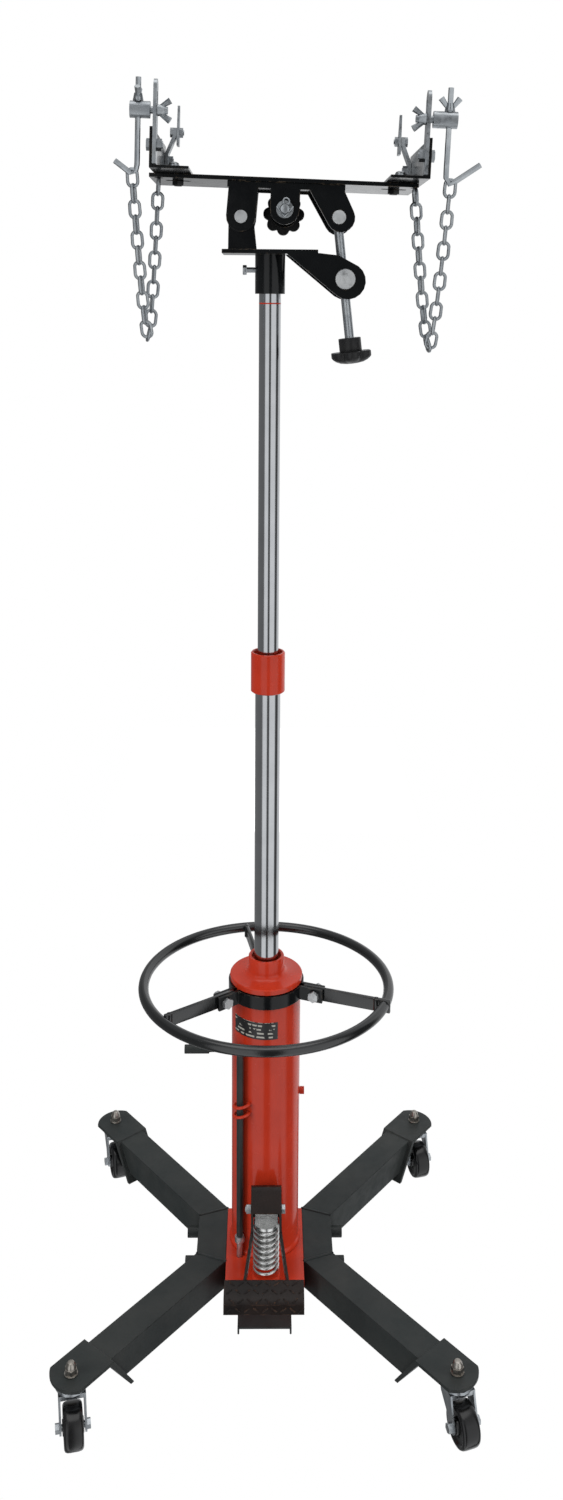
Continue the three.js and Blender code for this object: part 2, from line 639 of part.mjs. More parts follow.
// ---------------------------------------------------------------- head bracket
function headBracket() {
  const socket = ring(upperRamRadius + gap, socketRadius, socketBottom, headPlateBottom + 1, 32);
  const top = block(-71, 70, -45, 45, headPlateBottom, headPlateTop);
  const uprights = [-1, 1].map((side) => {
    const upright = lugOutline(-20, -62, headPlateTop - 1, pivot.x, pivot.z, 18);
    return plateXZ(upright, side * 35.5 - 3, side * 35.5 + 3);
  });
  const lobe = new THREE.Vector2(114, 1725), lobeRadius = 26.5;
  const arm = [[23, headPlateBottom + 1], [72, headPlateBottom + 1], [100, headPlateBottom - 2]];
  for (let angle = 55; angle >= -125; angle -= 20) {
    const a = THREE.MathUtils.degToRad(angle);
    arm.push([lobe.x + lobeRadius * Math.cos(a), lobe.y + lobeRadius * Math.sin(a)]);
  }
  const arms = [-1, 1].map((side) => plateXZ(outline(arm), side * 42 - 3, side * 42 + 3));
  const screwHole = bar(4.4, [-30, 0, 1741], [0, 0, 1741], 12);
  const pinHole = bar(9.8, [pivot.x, -60, pivot.z], [pivot.x, 60, pivot.z], 24);
  const trunnionHole = bar(14.8, [trunnion.x, -60, trunnion.z], [trunnion.x, 60, trunnion.z], 28);
  const welded = join(socket, top, ...uprights, ...arms);
  return piece("head_bracket", cut(welded, screwHole, pinHole, trunnionHole), glossBlack);
}

function setScrew() {
  const shank = bar(4, [-36, 0, 1741], [-upperRamRadius - gap, 0, 1741], 12);
  return piece("set_screw", join(shank, bar(7.5, [-41, 0, 1741], [-35, 0, 1741], 6)), zinc);
}

function tiltPin() {
  return piece("tilt_pin", bar(9.5, [pivot.x, -46.5, pivot.z], [pivot.x, 46.5, pivot.z], 24), zinc);
}

function lowerTrunnion() {
  const pin = bar(14.5, [trunnion.x, -46.5, trunnion.z], [trunnion.x, 46.5, trunnion.z], 28);
  const up = screwDirection().negate().multiplyScalar(40);
  const [low, high] = [trunnion.clone().sub(up), trunnion.clone().add(up)];
  return piece("lower_trunnion", cut(pin, bar(screwRadius + 2.2, low.toArray(), high.toArray(), 20)), zinc);
}

// ---------------------------------------------------------------- saddle, in its own tilted axes
const saddle = new THREE.Group();
saddle.position.copy(pivot);
saddle.rotation.y = THREE.MathUtils.degToRad(restTilt);
const clevis = new THREE.Vector3(clevisX, 0, clevisZ).applyEuler(saddle.rotation).add(pivot);

// The tilt screw's direction, from the upper trunnion down to the lower one.
function screwDirection() {
  return trunnion.clone().sub(clevis).normalize();
}

root.add(headBracket(), setScrew(), tiltPin(), lowerTrunnion(), saddle);

const shiftX = 63.5, shiftZ = 12.5; // axis of the fore-and-aft screw
const cradleTop = saddleBottom - gap, cradleBottom = cradleTop - 6;

function cradle() {
  const web = block(-21, 150, -45, 45, cradleBottom, cradleTop);
  const rims = [-1, 1].map((side) =>
    block(-21, 150, side * 42 - 3, side * 42 + 3, cradleBottom - 3, cradleTop),
  );
  const top = cradleBottom - 2;
  const lugs = [-1, 1].flatMap((side) => [
    plateXZ(lugOutline(-19, 24, top, 0, 0, 21.5), side * 42 - 3, side * 42 + 3),
    plateXZ(
      lugOutline(shiftX - 21.5, shiftX + 21.5, top, shiftX, shiftZ, 21.5),
      side * 42 - 3,
      side * 42 + 3,
    ),
    plateXZ(lugOutline(98, 149, top, clevisX + 3, clevisZ - 1, 20.5), side * 42 - 3, side * 42 + 3),
  ]);
  const across = (radius, x, z) => bar(radius, [x, -60, z], [x, 60, z], 16);
  const window = block(shiftX - 14.5, shiftX + 14.5, -37, 37, cradleBottom - 1, cradleTop + 1);
  return piece("cradle", cut(
    join(web, ...rims, ...lugs), across(9.8, 0, 0), across(7.4, shiftX, shiftZ),
    across(10.3, clevisX, clevisZ), window,
  ), glossBlack);
}

function shiftScrew() {
  const screw = bar(7, [shiftX, -58, shiftZ], [shiftX, 56, shiftZ], 18);
  const washer = bar(12, [shiftX, -48.5, shiftZ], [shiftX, -45.5, shiftZ], 24);
  const clip = bar(1.6, [shiftX - 5, -54, shiftZ - 13], [shiftX + 5, -54, shiftZ + 15], 8);
  const lobes = lobedKnob(31, 8, 14).map((g) => solid(g.rotateX(-Math.PI / 2).translate(shiftX, 60, shiftZ)));
  const hub = bar(14, [shiftX, 48, shiftZ], [shiftX, 62, shiftZ], 20);
  return piece("shift_screw", join(screw, washer, clip, hub, ...lobes), blackPlastic);
}

// A star knob about the Z axis with round lobes, from z = 0 up to its thickness.
function lobedKnob(radius, lobes, thickness) {
  const lobeRadius = radius * 0.1, centre = radius - lobeRadius;
  const shape = new THREE.Shape();
  const steps = lobes * 6;
  for (let i = 0; i < steps; i++) {
    const angle = (i / steps) * 2 * Math.PI;
    const wave = Math.cos(lobes * angle);
    const reach = centre + lobeRadius * Math.sign(wave) * Math.sqrt(Math.abs(wave));
    const [x, y] = [reach * Math.cos(angle), reach * Math.sin(angle)];
    if (i) shape.lineTo(x, y);
    else shape.moveTo(x, y);
  }
  return [new THREE.ExtrudeGeometry(shape, { depth: thickness, bevelEnabled: false })];
}

function saddlePlate() {
  const [near, far] = [ends.left.corner + angleLeg + gap, ends.right.corner - angleLeg - gap];
  const flat = join( // the middle stands a little prouder than the seats of the end angles
    block(plateLeft, plateRight, plateFront, plateBack, saddleBottom, saddleTop - seatStep),
    block(near, far, plateFront, plateBack, saddleBottom, saddleTop),
  );
  const slots = [-95, 224].map((x) =>
    plateXY(slotOutline(x - 12, x + 12, 0, 7), saddleBottom - 1, saddleTop + 1),
  );
  const chainHoles = Object.values(ends).map(({ chainX }) =>
    bar(7, [chainX, -35, saddleBottom - 1], [chainX, -35, saddleTop + 1], 12),
  );
  const nut = block(shiftX - 13.5, shiftX + 13.5, -15, 15, 1, saddleBottom + 1);
  const thread = bar(7.4, [shiftX, -20, shiftZ], [shiftX, 20, shiftZ], 18);
  return piece("saddle_plate", join(cut(flat, ...slots, ...chainHoles), cut(nut, thread)), glossBlack);
}

saddle.add(cradle(), shiftScrew(), saddlePlate());

// ---------------------------------------------------------------- tilt screw
function tiltScrewGroup() {
  const group = new THREE.Group(); // its -Z axis runs down the screw from the upper trunnion
  group.position.copy(clevis);
  group.rotation.y = Math.atan2(-screwDirection().x, -screwDirection().z);
  const pin = cut(bar(10, [0, -46.5, 0], [0, 46.5, 0], 24), bar(4.4, [0, 0, -15], [0, 0, 15], 12));
  group.add(piece("upper_trunnion", pin, zinc));
  const screw = join(
    bar(screwRadius, [0, 0, -190], [0, 0, -10.6], 20), bar(4.1, [0, 0, -12], [0, 0, 14], 12),
    bar(7.5, [0, 0, 10.5], [0, 0, 16], 6),
  );
  group.add(piece("tilt_screw", screw, zinc));
  const collar = ring(screwRadius + gap, 17, -196, -176, 24);
  const disc = lobedKnob(32, 6, 18).map((g) => solid(g.translate(0, 0, -214)));
  const bore = bar(screwRadius + gap, [0, 0, -190.4], [0, 0, -170], 20);
  const base = cut(join(...disc, bar(17, [0, 0, -197], [0, 0, -193], 24)), bore);
  group.add(piece("tilt_knob", join(collar, base), blackPlastic));
  return group;
}

root.add(tiltScrewGroup());

// ---------------------------------------------------------------- saddle ends
// A wing nut about the X axis whose face is at x, opening towards side.
function wingNut(x, y, z, side, hub, spanAngle = 38) {
  const body = bar(hub, [x, y, z], [x + side * 10, y, z], 12, hub * 0.75);
  const wings = [-1, 1].map((s) => {
    const lean = THREE.MathUtils.degToRad(spanAngle);
    const tip = [x + side * (4 + 17 * Math.cos(lean)), y, z + s * (3 + 17 * Math.sin(lean))];
    return bar(3, [x + side * 3, y, z + s * 4], tip, 8, 4.8);
  });
  return join(body, ...wings);
}

function endAngle(name, { out, corner }) {
  const inner = corner - out * angleLeg, face = corner - out * angleThickness;
  const low = saddleTop - seatStep + gap;
  const span = (a, b) => [Math.min(a, b), Math.max(a, b)];
  const floor = block(...span(corner, inner), -angleLength / 2, angleLength / 2, low, low + angleThickness);
  const wall = block(...span(corner, face), -angleLength / 2, angleLength / 2, low, low + angleLeg);
  const boltX = out < 0 ? -95 : 224;
  const bolt = join(
    bar(6, [boltX, 0, saddleBottom - 8], [boltX, 0, low + 6], 14),
    bar(9.5, [boltX, 0, saddleBottom - 7], [boltX, 0, saddleBottom - gap], 6),
    bar(9.5, [boltX, 0, low + 3], [boltX, 0, low + 10], 6),
  );
  const spares = [-90, 90].map((y) => bar(7.5, [boltX, y, low + 3], [boltX, y, low + 10], 6));
  const holes = [-1, 1].map((s) =>
    bar(5.4, [corner - out * 20, s * uprightY, 88], [corner + out * 5, s * uprightY, 88], 12),
  );
  return piece(name, join(cut(join(floor, wall), ...holes), bolt, ...spares), glossBlack);
}

// The tall bar that the hook hangs on, with the bolt that holds it to the angle.
function frontUpright(name, { out, corner, blockZ }) {
  const near = corner - out * (angleThickness + gap), far = near - out * 5;
  const [x0, x1] = [Math.min(near, far), Math.max(near, far)];
  const y = -uprightY;
  const shape = new THREE.Shape();
  shape.moveTo(y - 12.5, 62);
  shape.lineTo(y + 12.5, 62);
  shape.lineTo(y + 12.5, 163);
  shape.absarc(y, 163, 12.5, 0, Math.PI, false);
  const slot = bar(5.6, [x0 - 9, y, blockZ], [x1 + 9, y, blockZ], 14);
  const slotTop = bar(5.6, [x0 - 9, y, blockZ + 20], [x1 + 9, y, blockZ + 20], 14);
  const middle = block(x0 - 9, x1 + 9, y - 5.6, y + 5.6, blockZ, blockZ + 20);
  const bolt = join(
    bar(5, [corner + out * 2, y, 88], [far - out * 9, y, 88], 14),
    bar(8.5, [corner + out * gap, y, 88], [corner + out * 5, y, 88], 6),
    bar(8.5, [far, y, 88], [far - out * 7.5, y, 88], 6),
  );
  return piece(name, join(cut(plateYZ(shape, x0, x1, 6), slot, slotTop, middle), bolt), zinc);
}

// The pointed finger at the back: a strap that leans inwards and a blade that stands on it.
function rearUpright(name, { out, corner }) {
  const near = corner - out * (angleThickness + gap), y = uprightY;
  const s = (x) => near - out * x;
  const strap = plateXZ(outline([
    [s(0), 64], [s(5), 64], [s(5), 98], [s(17), 126], [s(17), 138], [s(12), 138], [s(12), 128], [s(0), 100],
  ]), y - 12, y + 12);
  const blade = cut(
    block(Math.min(s(17.3), s(21)), Math.max(s(17.3), s(21)), y - 12, y + 12, 112, 172),
    ...[-1, 1].map((side) => plateYZ(outline([
      [y + side * 3, 173], [y + side * 13, 173], [y + side * 13, 128], [y + side * 12.01, 128],
    ]), -400, 400)),
  );
  const joiner = join(
    bar(4, [s(7), y, 132], [s(28), y, 132], 12), bar(7.5, [s(21), y, 132], [s(26.5), y, 132], 6),
    bar(7.5, [s(6.5), y, 132], [s(12), y, 132], 6),
  );
  const bolt = join(
    bar(5, [corner + out * 2, y, 88], [s(13), y, 88], 14),
    bar(8.5, [corner + out * gap, y, 88], [corner + out * 5, y, 88], 6),
    bar(8.5, [s(4), y, 88], [s(12), y, 88], 6),
  );
  return piece(name, join(strap, blade, joiner, bolt), zinc);
}

// The round block that slides on the tall bar, with its wing nut on the inside.
function hookBlock(name, { out, corner, blockZ, rod }) {
  const near = corner + out * gap, y = -uprightY;
  const body = bar(11.5, [near, y, blockZ], [rod + out * 11, y, blockZ], 24);
  const inside = corner - out * (angleThickness + 2 * gap + 5);
  const shankClear = corner - out * (angleThickness + 20);
  const shank = bar(5, [near + out, y, blockZ], [shankClear, y, blockZ], 14);
  const nut = wingNut(inside - out * gap, y, blockZ, -out, 8);
  const hole = bar(4.3, [rod, y, blockZ - 20], [rod, y, blockZ + 20], 14);
  return piece(name, join(cut(body, hole), shank, nut), zinc);
}

// The hook rod: straight through the block, with a wing nut on its thread and a tail turned up.
function hookRod(name, { out, blockZ, rod }) {
  const y = -uprightY, tail = out < 0 ? 31 : 47, low = blockZ - 86;
  const wire = bent([
    [rod, y, blockZ + 43], [rod, y, blockZ + 5], [rod, y, blockZ - 40], [rod, y, low + 12],
    [rod + out * 1.5, y, low + 4], [rod + out * 7, y, low], [rod + out * 13, y, low + 4],
    [rod + (out * (tail + 13)) / 2, y, low + 4 + (tail - 13) * 0.35],
    [rod + out * tail, y, low + 4 + (tail - 13) * 0.7],
  ], 3.9, 18, 8);
  const face = blockZ + 11.9;
  const [wx, wy] = out < 0 ? [0, 1] : [1, 0]; // the way the wings point
  const nut = join(
    bar(7.5, [rod, y, face], [rod, y, face + 10], 12, 5.5),
    ...[-1, 1].map((s) => {
      const at = (reach, height) => [rod + s * reach * wx, y + s * reach * wy, face + height];
      return bar(2.8, at(3, 4), at(13, 17), 8, 4.4);
    }),
  );
  return piece(name, join(wire, nut), zinc);
}

// The safety chain's outer shape: a slack loop from the hook down and back up to the plate's end.
function chain(name, { rod, chainX, blockZ, out }) {
  const outer = [rod + out * 7, -uprightY, blockZ - 92.5], inner = [chainX, -35, saddleBottom - 6];
  const lowest = [(outer[0] + inner[0]) / 2, (outer[1] + inner[1]) / 2, -178];
  const points = [];
  for (const [end, direction] of [[outer, -1], [inner, 1]]) {
    const side = [0.02, 0.08, 0.2, 0.4, 0.6, 0.8, 1].map((up) => {
      const share = up ** 0.7;
      const across = [0, 1].map((k) => lowest[k] + (end[k] - lowest[k]) * share);
      return [...across, lowest[2] + (end[2] - lowest[2]) * up];
    });
    points.push(...(direction < 0 ? side.reverse() : side));
  }
  return piece(name, bent(points, 4.6, 26, 6), zinc);
}

for (const [side, end] of Object.entries(ends))
  saddle.add(
    endAngle(`end_angle_${side}`, end), frontUpright(`front_upright_${side}`, end),
    rearUpright(`rear_upright_${side}`, end), hookBlock(`hook_block_${side}`, end),
    hookRod(`hook_rod_${side}`, end), chain(`safety_chain_${side}`, end),
  );

export default root;
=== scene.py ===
"""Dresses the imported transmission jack: bevelled skins on its steelwork, turned column parts, real chain
links, a coil spring, finishes and a pale studio."""
import json
import math

import bpy
from mathutils import Matrix, Vector


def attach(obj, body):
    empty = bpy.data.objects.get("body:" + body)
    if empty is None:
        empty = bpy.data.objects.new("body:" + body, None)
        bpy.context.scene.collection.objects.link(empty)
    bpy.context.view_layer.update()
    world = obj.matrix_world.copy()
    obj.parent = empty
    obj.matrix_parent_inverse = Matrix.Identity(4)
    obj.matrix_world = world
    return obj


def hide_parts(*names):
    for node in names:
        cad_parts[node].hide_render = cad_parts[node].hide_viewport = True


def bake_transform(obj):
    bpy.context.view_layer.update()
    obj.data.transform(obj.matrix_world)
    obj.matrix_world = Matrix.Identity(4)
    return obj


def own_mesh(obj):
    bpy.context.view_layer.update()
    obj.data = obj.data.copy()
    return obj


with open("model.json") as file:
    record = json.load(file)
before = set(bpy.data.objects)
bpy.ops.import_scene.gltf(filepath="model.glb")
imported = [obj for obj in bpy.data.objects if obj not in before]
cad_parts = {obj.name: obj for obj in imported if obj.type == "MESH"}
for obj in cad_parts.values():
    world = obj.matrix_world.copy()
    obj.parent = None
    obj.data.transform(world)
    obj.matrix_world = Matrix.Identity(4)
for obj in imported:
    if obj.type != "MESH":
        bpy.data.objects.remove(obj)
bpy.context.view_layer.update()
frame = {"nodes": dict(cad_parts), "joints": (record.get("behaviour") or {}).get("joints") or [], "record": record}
bpy.ops.object.select_all(action="DESELECT")

MM = 0.001
COLUMN = Vector((0, 0.008, -0.010))  # foot of the column's axis
BODY_OF = {node: body for body, nodes in frame["record"]["behaviour"]["bodies"].items() for node in nodes}
PIVOT = Vector((-43.2, 8, 1806)) * MM  # the saddle's tilt pin
REST_TILT = math.radians(1.8)  # right side down
SADDLE = Matrix.Translation(PIVOT) @ Matrix.Rotation(REST_TILT, 4, "Y")

# Sizes below are in millimetres, from the foot of the column or, on the head, from the tilt pin.
CYLINDER_RADIUS, CYLINDER_BORE, CYLINDER_TOP = 57, 51, 589.7
LOWER_RAM_RADIUS, UPPER_RAM_RADIUS, COLLAR_RADIUS = 20, 16.5, 27
RING_RADIUS, RING_TUBE, RING_HEIGHT, RING_TILT = 203, 8.5, 579, -1.5
SPOKES = ((-143.8, 66, 198), (-20.1, 66, 212.5), (100.4, 64, 198))  # azimuth, first and last radius
PUMP_X, PUMP_Y = 2, -97
ROD_X, ROD_Y = -42.5, -50.5  # the release rod
SHIFT_X, SHIFT_Z = 63.5, 12.5  # the fore-and-aft screw
LEFT_BOLTS, RIGHT_BOLTS = -95, 224  # rows of bolts through the end angles


# ---------------------------------------------------------------- finishes
class Finish:
    """A procedural material built around one Principled shader."""

    def __init__(self, name, **values):
        self.material = bpy.data.materials.new(name)
        self.material.use_nodes = True
        self.tree = self.material.node_tree
        self.shader = self.tree.nodes["Principled BSDF"]
        for socket, value in values.items():
            self.shader.inputs[socket.replace("_", " ")].default_value = value
        self.place = self.add("ShaderNodeTexCoord").outputs["Object"]

    def add(self, kind, **inputs):
        node = self.tree.nodes.new(kind)
        for socket, value in inputs.items():
            self.feed(node.inputs[socket.replace("_", " ")], value)
        return node

    def feed(self, socket, value):
        if isinstance(value, bpy.types.NodeSocket):
            self.tree.links.new(value, socket)
        else:
            socket.default_value = value

    def noise(self, scale, detail=3.0, stretch=None, roughness=0.55):
        place = self.place
        if stretch:
            place = self.add("ShaderNodeMapping", Vector=place, Scale=stretch).outputs["Vector"]
        node = self.add("ShaderNodeTexNoise", Vector=place, Scale=scale, Detail=detail, Roughness=roughness)
        return node.outputs["Fac"]

    def remap(self, value, low, high, to_low, to_high):
        node = self.add("ShaderNodeMapRange", Value=value)
        for socket, number in (("From Min", low), ("From Max", high), ("To Min", to_low), ("To Max", to_high)):
            node.inputs[socket].default_value = number
        return node.outputs["Result"]

    def blend(self, share, first, second):
        node = self.tree.nodes.new("ShaderNodeMix")
        node.data_type = "RGBA"
        self.feed(node.inputs[0], share)
        for socket, value in ((node.inputs[6], first), (node.inputs[7], second)):
            self.feed(socket, value if isinstance(value, bpy.types.NodeSocket) else (*value, 1))
        return node.outputs[2]

    def times(self, first, second):
        node = self.tree.nodes.new("ShaderNodeMath")
        node.operation = "MULTIPLY"
        self.feed(node.inputs[0], first)
        self.feed(node.inputs[1], second)
        return node.outputs[0]

    def edges(self, radius):
        """1 on edges, 0 on faces: the mask for worn edges, and for the painted shade along the satin frame paint's
        edges.
        """
        rounded = self.add("ShaderNodeBevel", Radius=radius)
        rounded.samples = 4
        face = self.add("ShaderNodeNewGeometry").outputs["Normal"]
        dot = self.tree.nodes.new("ShaderNodeVectorMath")
        dot.operation = "DOT_PRODUCT"
        self.feed(dot.inputs[0], rounded.outputs["Normal"])
        self.feed(dot.inputs[1], face)
        return self.remap(dot.outputs["Value"], 0.985, 0.86, 0.0, 1.0)

    def colour(self, value):
        self.feed(self.shader.inputs["Base Color"], value)

    def rough(self, value):
        self.feed(self.shader.inputs["Roughness"], value)

    def bump(self, height, strength, distance, corner=0.0):
        """A fine relief, on corners rounded to a radius in metres where one is given."""
        node = self.add("ShaderNodeBump", Height=height, Strength=strength, Distance=distance)
        if corner:
            eased = self.add("ShaderNodeBevel", Radius=corner)
            eased.samples = 6
            self.feed(node.inputs["Normal"], eased.outputs["Normal"])
        self.feed(self.shader.inputs["Normal"], node.outputs["Normal"])


def enamel(name, colour, deep, roughness, coat, orange_peel=0.08, shine=0.2, corner=0.0):
    made = Finish(name, Coat_Weight=coat, Coat_Roughness=0.08, Specular_IOR_Level=shine)
    made.colour(made.blend(made.remap(made.noise(14, 4), 0.35, 0.68, 0, 1), colour, deep))
    made.rough(made.remap(made.noise(60, 3), 0.3, 0.7, roughness * 0.75, roughness * 1.3))
    made.bump(made.noise(420, 2), orange_peel, 0.0006, corner)
    return made


def paint_with_worn_and_shaded_edges(name, colour, dust, worn_and_shaded_edge_colour, roughness, shine, corner):
    made = enamel(name, colour, dust, roughness, 0.0, 0.12, shine, corner)
    base = made.shader.inputs["Base Color"].links[0].from_socket
    patches = made.remap(made.noise(95, 5), 0.5, 0.66, 0, 1)
    # Edges take the edge colour: worn paint on the gloss, ring and pedal paints, but painted shade, a dark line
    # along each edge, on the satin frame paint.
    made.colour(made.blend(made.times(made.edges(0.0022), patches), base, worn_and_shaded_edge_colour))
    return made


def plated(name, colour, tint, roughness, stretch=None, brushed=0.05):
    made = Finish(name, Metallic=1.0)
    made.colour(made.blend(made.remap(made.noise(38, 3), 0.35, 0.68, 0, 1), colour, tint))
    made.rough(made.remap(made.noise(90, 4, stretch), 0.3, 0.7, roughness * 0.6, roughness * 1.5))
    made.bump(made.noise(300, 3, stretch), brushed, 0.0004)
    return made


def moulded(name, colour, dust, roughness, grain, shine=0.3):
    made = Finish(name, Specular_IOR_Level=shine)
    made.colour(made.blend(made.remap(made.noise(22, 4), 0.45, 0.75, 0, 1), colour, dust))
    made.rough(made.remap(made.noise(130, 3), 0.3, 0.7, roughness * 0.8, roughness * 1.25))
    made.bump(made.noise(900, 2), grain, 0.0004)
    return made


RED = enamel("red_enamel", (0.43, 0.030, 0.0105), (0.37, 0.024, 0.008), 0.22, 0.35).material
# The third colour here, on the edges, is painted shade: a dark line along every edge of the frame tubes, not worn
# paint.
SATIN = paint_with_worn_and_shaded_edges(
    "satin_frame_paint", (0.016, 0.0195, 0.0195), (0.025, 0.027, 0.026), (0.004, 0.0045, 0.005), 0.42, 0.25, 0.002,
).material
GLOSS = paint_with_worn_and_shaded_edges(
    "gloss_black_paint", (0.0022, 0.0027, 0.0032), (0.005, 0.0055, 0.006), (0.10, 0.075, 0.05), 0.14, 0.32, 0.001,
).material
RING = paint_with_worn_and_shaded_edges(
    "ring_paint", (0.0030, 0.0034, 0.0036), (0.006, 0.0065, 0.007), (0.08, 0.065, 0.05), 0.16, 0.9, 0.0,
).material
PEDAL = paint_with_worn_and_shaded_edges(
    "pedal_paint", (0.0065, 0.0055, 0.0052), (0.015, 0.009, 0.0075), (0.12, 0.06, 0.035), 0.3, 0.2, 0.0022,
).material
CHROME = plated("hard_chrome", (0.56, 0.57, 0.585), (0.52, 0.53, 0.545), 0.11, (1, 1, 0.02), 0.002).material
STEEL = plated("turned_steel", (0.42, 0.42, 0.41), (0.33, 0.33, 0.32), 0.28, (1, 1, 6), 0.15).material
ZINC = plated("bright_zinc", (0.50, 0.525, 0.54), (0.36, 0.385, 0.41), 0.32).material
POLISHED = plated("polished_steel", (0.82, 0.82, 0.81), (0.68, 0.68, 0.67), 0.24, (1, 1, 5), 0.04).material
SATIN_ZINC = plated("satin_zinc", (0.68, 0.69, 0.69), (0.55, 0.56, 0.57), 0.5).material
YELLOW_ZINC = plated("warm_zinc", (0.50, 0.47, 0.43), (0.30, 0.27, 0.235), 0.34).material
KNOB = moulded("knob_plastic", (0.007, 0.007, 0.008), (0.014, 0.014, 0.014), 0.36, 0.12).material
WHEEL = moulded("wheel_plastic", (0.0035, 0.0035, 0.004), (0.007, 0.0065, 0.006), 0.2, 0.04, 0.5).material


def label_finish():
    """Black label with rows of plain pale bars."""
    made = Finish("label_print", Roughness=0.35)
    around, up = (made.tree.nodes.new("ShaderNodeMath") for _ in range(2))
    parts = made.add("ShaderNodeSeparateXYZ", Vector=made.place)
    around.operation = "ABSOLUTE"
    made.feed(around.inputs[0], parts.outputs["X"])
    up.operation = "FRACT"
    made.feed(up.inputs[0], made.times(parts.outputs["Z"], 150.0))
    rows = made.remap(up.outputs[0], 0.55, 0.6, 0, 1)
    words = made.remap(made.noise(160, 1, (1, 0.2, 0.35)), 0.49, 0.51, 0, 1)
    made.colour(made.blend(made.times(rows, words), (0.012, 0.012, 0.012), (0.36, 0.35, 0.31)))
    return made.material


LABEL = label_finish()
CORNERS = ("front_left", "front_right", "rear_left", "rear_right")
SLOT_FINISH = {
    "red_paint": RED, "satin_black": SATIN, "gloss_black": GLOSS, "chrome": CHROME, "steel": STEEL, "zinc": ZINC,
    "black_plastic": KNOB, "wheel_plastic": WHEEL,
}
SLOT_OF = {entry["node"]: entry["material_slot"] for entry in frame["record"]["subparts"]}
for node, thing in frame["nodes"].items():
    thing.data.materials.clear()
    thing.data.materials.append(SLOT_FINISH[SLOT_OF[node]])


# ---------------------------------------------------------------- modelling helpers
def only(thing):
    bpy.ops.object.select_all(action="DESELECT")
    thing.select_set(True)
    bpy.context.view_layer.objects.active = thing


def edit(thing, select="SELECT"):
    only(thing)
    bpy.ops.object.mode_set(mode="EDIT")
    bpy.ops.mesh.select_all(action=select)


def leave():
    bpy.ops.object.mode_set(mode="OBJECT")


def apply_all(thing):
    only(thing)
    for modifier in list(thing.modifiers):
        bpy.ops.object.modifier_apply(modifier=modifier.name)


def settle(thing):
    """Puts the piece's place into its mesh."""
    only(thing)
    bpy.ops.object.transform_apply(location=True, rotation=True, scale=True)


def rounded(thing, width, angle=32, segments=2):
    only(thing)
    edge = thing.modifiers.new("edge", "BEVEL")
    edge.width, edge.segments = width, segments
    edge.limit_method, edge.angle_limit = "ANGLE", math.radians(angle)
    bpy.ops.object.modifier_apply(modifier=edge.name)


def hand_over(thing, name, finish, body, slot, *nodes, smooth=38, flats=False):
    """Names, finishes and mounts a piece, in place of CAD nodes where some are given; body may be left None."""
    thing.name = thing.data.name = name
    thing.data.materials.clear()
    thing.data.materials.append(finish)
    for face in thing.data.polygons:
        face.material_index = 0
    settle(thing)
    bpy.ops.object.shade_smooth_by_angle(angle=math.radians(smooth))
    if flats:
        even = thing.modifiers.new("even", "WEIGHTED_NORMAL")
        even.keep_sharp = True
        bpy.ops.object.modifier_apply(modifier=even.name)
    if body:
        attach(thing, body)
    if nodes:
        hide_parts(*nodes)
    return thing


def merged(first, *others):
    bpy.ops.object.select_all(action="DESELECT")
    for thing in (first, *others):
        thing.select_set(True)
    bpy.context.view_layer.objects.active = first
    bpy.ops.object.join()
    return bpy.context.view_layer.objects.active


def skin(node, finish=None, edge=0.9):
    """A bevelled, smooth-shaded copy of a CAD node."""
    source = frame["nodes"][node]
    copy = bpy.data.objects.new(node + "_skin", source.data.copy())
    bpy.context.scene.collection.objects.link(copy)
    only(copy)
    bpy.ops.mesh.customdata_custom_splitnormals_clear()
    edit(copy)
    bpy.ops.mesh.remove_doubles(threshold=0.00002)
    bpy.ops.mesh.dissolve_limited(angle_limit=math.radians(0.6))
    leave()
    rounded(copy, edge * MM)
    slot = SLOT_OF[node]
    finish = finish or SLOT_FINISH[slot]
    return hand_over(copy, node + "_skin", finish, BODY_OF[node], slot, node, flats=True)


def lathe(profile, segments=72, closed=False):
    """A turned shell about the Z axis through the column, from (radius, height) pairs in millimetres."""
    radius, height = profile[0]
    bpy.ops.mesh.primitive_circle_add(
        vertices=segments, radius=radius * MM, fill_type="NOTHING" if closed else "NGON",
        location=(0, 0, height * MM),
    )
    thing = bpy.context.active_object
    settle(thing)
    edit(thing)
    now, level = radius, height
    for radius, height in profile[1:]:
        bpy.ops.mesh.extrude_region_move(TRANSFORM_OT_translate={"value": (0, 0, (height - level) * MM)})
        bpy.ops.transform.resize(value=(radius / now, radius / now, 1))
        now, level = radius, height
    if closed:
        bpy.ops.mesh.select_all(action="SELECT")
        bpy.ops.mesh.remove_doubles(threshold=0.00001)
    bpy.ops.mesh.select_all(action="SELECT")
    bpy.ops.mesh.normals_make_consistent(inside=False)
    leave()
    return thing


def box_piece(low, high):
    """A block between two corners, in millimetres."""
    low, high = Vector(low) * MM, Vector(high) * MM
    bpy.ops.mesh.primitive_cube_add(size=1, location=(low + high) / 2, scale=high - low)
    thing = bpy.context.active_object
    settle(thing)
    return thing


def moved(thing, matrix):
    thing.data.transform(matrix)
    return thing


def rod(radius, start, end, sides=24):
    """A round bar between two points, in metres."""
    start, end = Vector(start), Vector(end)
    along = end - start
    bpy.ops.mesh.primitive_cylinder_add(vertices=sides, radius=radius * MM, depth=along.length)
    thing = bpy.context.active_object
    turn = along.to_track_quat("Z", "Y").to_matrix().to_4x4()
    return moved(thing, Matrix.Translation((start + end) / 2) @ turn)


ON_COLUMN = Matrix.Translation(COLUMN)

